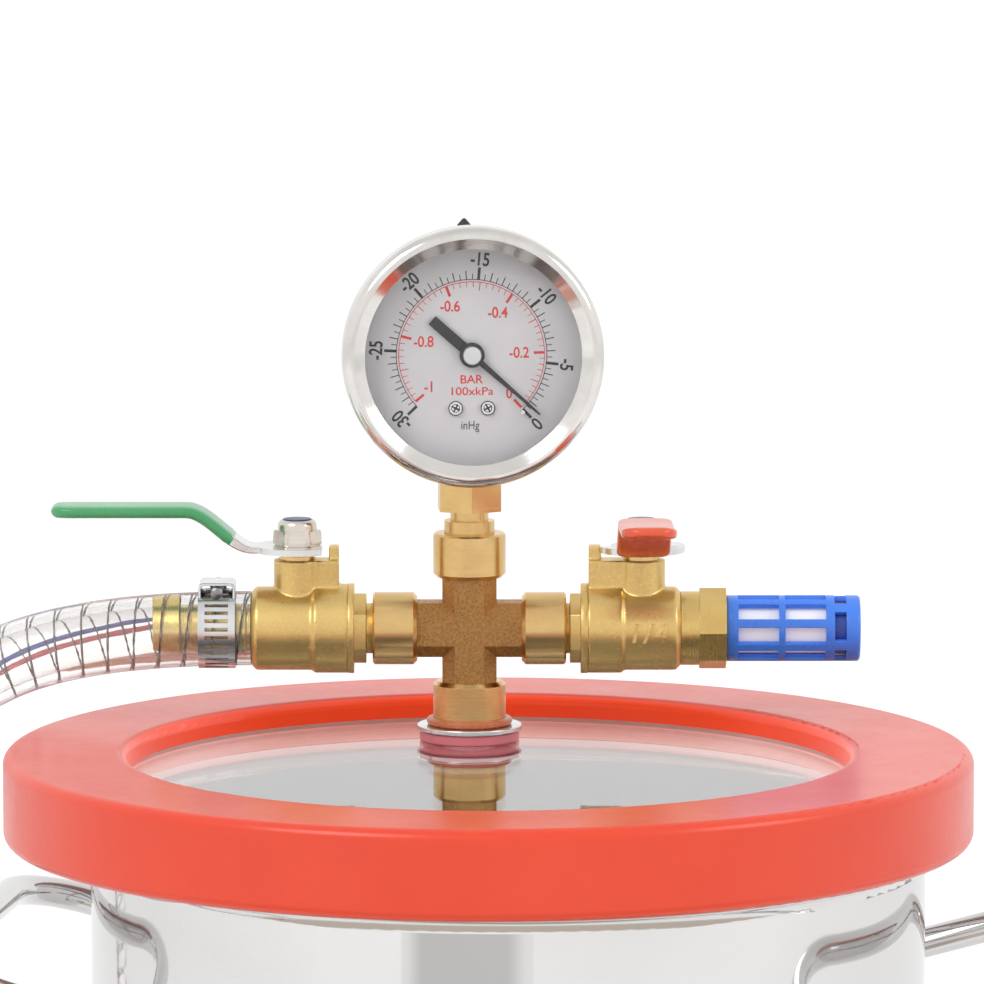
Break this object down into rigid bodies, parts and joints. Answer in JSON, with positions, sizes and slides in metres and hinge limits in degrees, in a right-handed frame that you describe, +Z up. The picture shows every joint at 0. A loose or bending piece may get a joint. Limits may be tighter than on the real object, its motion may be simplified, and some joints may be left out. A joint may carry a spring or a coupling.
{
  "type": "vacuum chamber",
  "caption": "Steel pot with a clear lid in a silicone ring, carrying a brass cross with a vacuum gauge, two lever valves, an intake filter and a suction hose.",
  "frame": {"origin": "centre of the pot's base, on the surface that it stands on", "axes": "+Z up, front with the dial towards -Y, suction hose towards -X and intake filter towards +X"},
  "size_m": [0.6173, 0.3161, 0.3752],
  "materials": {
    "black_paint": "black paint",
    "brass_forged": "blasted forged brass",
    "brass_turned": "turned bright brass",
    "brass_valve": "yellow brass, fine cast skin",
    "bronze_tube": "phosphor bronze",
    "dial_face": "matt pale grey print face",
    "glass_clear": "clear tempered glass",
    "plastic_blue": "moulded blue plastic",
    "polished_steel": "mirror polished stainless steel",
    "porous_white": "porous white filter",
    "ptfe": "PTFE",
    "pvc_clear": "clear PVC with a steel spiral",
    "rubber_black": "black rubber",
    "rubber_orange": "rubber O-ring",
    "silicone_orange": "moulded orange-red silicone, satin",
    "silicone_pink": "soft silicone",
    "steel_bright": "bright stainless steel",
    "steel_zinc": "zinc plated steel",
    "vinyl_green": "dipped vinyl",
    "vinyl_red": "dipped vinyl"
  },
  "bodies": {
    "chamber": {"clamp_band": "steel_bright", "clamp_housing": "steel_bright", "clamp_screw": "steel_bright", "cross_fitting": "brass_forged", "filter_body": "plastic_blue", "filter_core": "porous_white", "gauge_back_plate": "brass_turned", "gauge_bezel": "steel_bright", "gauge_bourdon_tube": "bronze_tube", "gauge_case": "steel_bright", "gauge_dial": "dial_face", "gauge_dial_screws": "steel_bright", "gauge_front_plate": "brass_turned", "gauge_lens": "glass_clear", "gauge_lens_seal": "rubber_black", "gauge_stem": "brass_turned", "gauge_stop_pin": "steel_bright", "gauge_vent_plug": "rubber_black", "handle_left": "polished_steel", "handle_right": "polished_steel", "hose": "pvc_clear", "hose_barb": "brass_turned", "hose_coil": "pvc_clear", "left_valve_body": "brass_valve", "left_valve_packing": "ptfe", "left_valve_seats": "ptfe", "lid_gasket": "silicone_orange", "lid_glass": "glass_clear", "lid_nipple": "brass_turned", "lock_nut": "brass_turned", "lower_gasket": "silicone_pink", "lower_washer": "steel_bright", "o_ring": "rubber_orange", "pot_body": "polished_steel", "pump_fitting": "brass_turned", "right_valve_body": "brass_valve", "right_valve_end": "brass_valve", "right_valve_packing": "ptfe", "right_valve_seats": "ptfe", "upper_gasket": "silicone_pink", "upper_washer": "steel_bright"},
    "left_lever": {"left_valve_lever": "steel_zinc", "left_valve_grip": "vinyl_green", "left_valve_nut": "steel_zinc", "left_valve_stem": "brass_turned", "left_valve_ball": "polished_steel"},
    "right_lever": {"right_valve_lever": "steel_zinc", "right_valve_grip": "vinyl_red", "right_valve_nut": "steel_zinc", "right_valve_stem": "brass_turned", "right_valve_ball": "polished_steel"},
    "pointer": {"gauge_pointer": "black_paint", "gauge_pointer_shaft": "steel_bright"},
    "sector": {"gauge_sector_gear": "brass_turned"},
    "link": {"gauge_link": "steel_bright"}
  },
  "joints": [
    {"name": "left_valve_turn", "type": "hinge", "parent": "chamber", "child": "left_lever", "pos_m": [-0.05505, 0.054, 0.2873], "axis": [0, 0, 1], "range_deg": [-90, 0]},
    {"name": "right_valve_turn", "type": "hinge", "parent": "chamber", "child": "right_lever", "pos_m": [0.03505, 0.054, 0.2873], "axis": [0, 0, 1], "range_deg": [0, 90]},
    {"name": "sector_turn", "type": "hinge", "parent": "chamber", "child": "sector", "pos_m": [-0.01, 0.054, 0.3264], "axis": [0.0698, -0.9976, 0], "range_deg": [-44.3, 0.55], "stiffness_Nm_per_rad": 0.002},
    {"name": "pointer_turn", "type": "hinge", "parent": "chamber", "child": "pointer", "pos_m": [-0.01, 0.054, 0.3411], "axis": [0.0698, -0.9976, 0], "range_deg": [-3.5, 266.5]},
    {"name": "link_swivel", "type": "hinge", "parent": "sector", "child": "link", "pos_m": [-0.01648, 0.05355, 0.3264], "axis": [0.0698, -0.9976, 0], "range_deg": [-0.8, 44.6]}
  ],
  "couplings": [
    {"joint": "pointer_turn", "follows": "sector_turn", "ratio": -6},
    {"joint": "link_swivel", "follows": "sector_turn", "ratio": -1}
  ]
}
